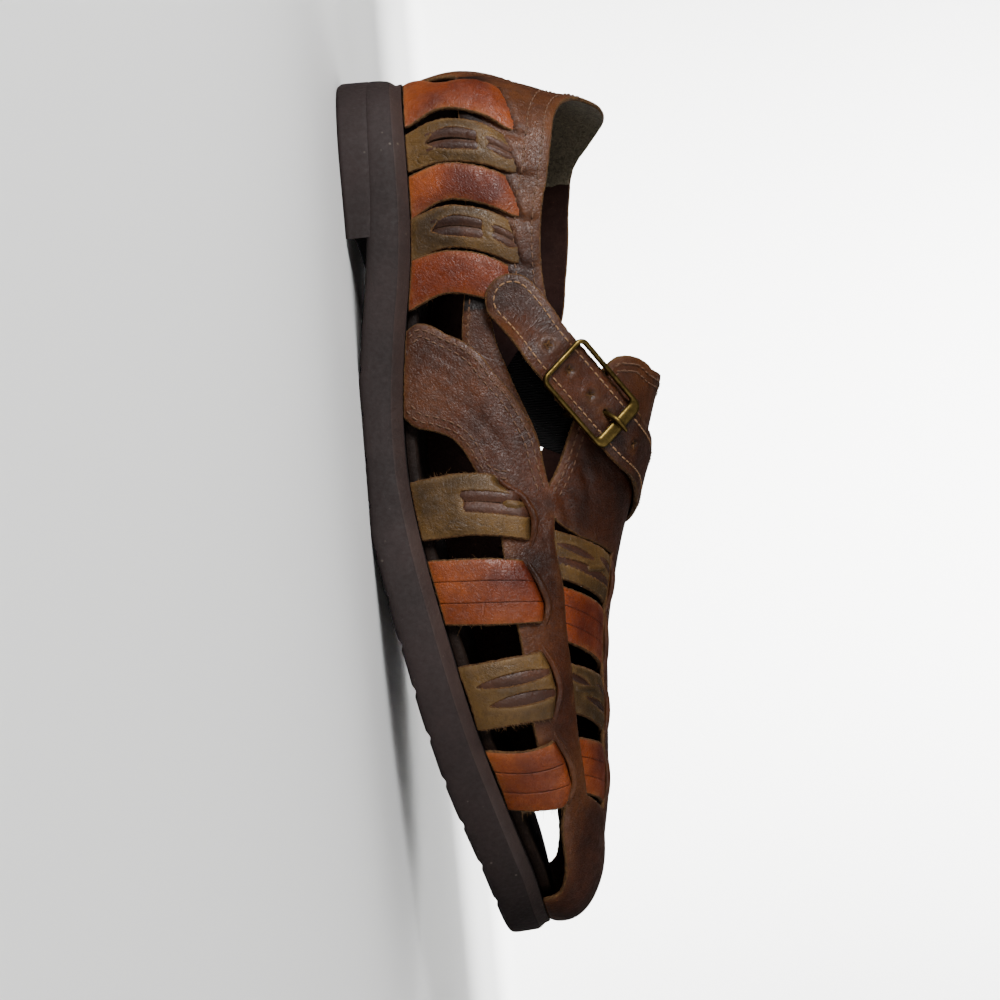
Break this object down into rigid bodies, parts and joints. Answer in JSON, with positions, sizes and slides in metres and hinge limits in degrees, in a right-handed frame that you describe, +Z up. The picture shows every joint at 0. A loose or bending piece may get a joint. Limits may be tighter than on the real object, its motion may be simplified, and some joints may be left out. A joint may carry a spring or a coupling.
{
  "type": "fisherman sandal",
  "caption": "Closed-toe fisherman sandal, right shoe: woven leather straps in a cut-out leather upper, a buckled instep strap and a ribbed rubber sole with a low heel.",
  "frame": {"origin": "on the floor, under the middle of the shoe's length and width", "axes": "+X from the heel to the toe, +Z up, the lateral side of the foot towards -Y"},
  "size_m": [0.288, 0.1074, 0.0978],
  "materials": {
    "upper_leather": "waxed brown leather with olive and tan straps, semi-gloss",
    "sole_rubber": "matte dark brown rubber",
    "insole_leather": "dark red-brown leather, matte",
    "strap_leather": "waxed brown leather, semi-gloss",
    "antique_brass": "aged brass, satin"
  },
  "bodies": {
    "root": {"upper": "upper_leather", "outsole": "sole_rubber", "heel": "sole_rubber", "insole": "insole_leather", "instep_strap": "strap_leather", "buckle_frame": "antique_brass", "buckle_prong": "antique_brass", "buckle_chape": "strap_leather"}
  },
  "joints": []
}
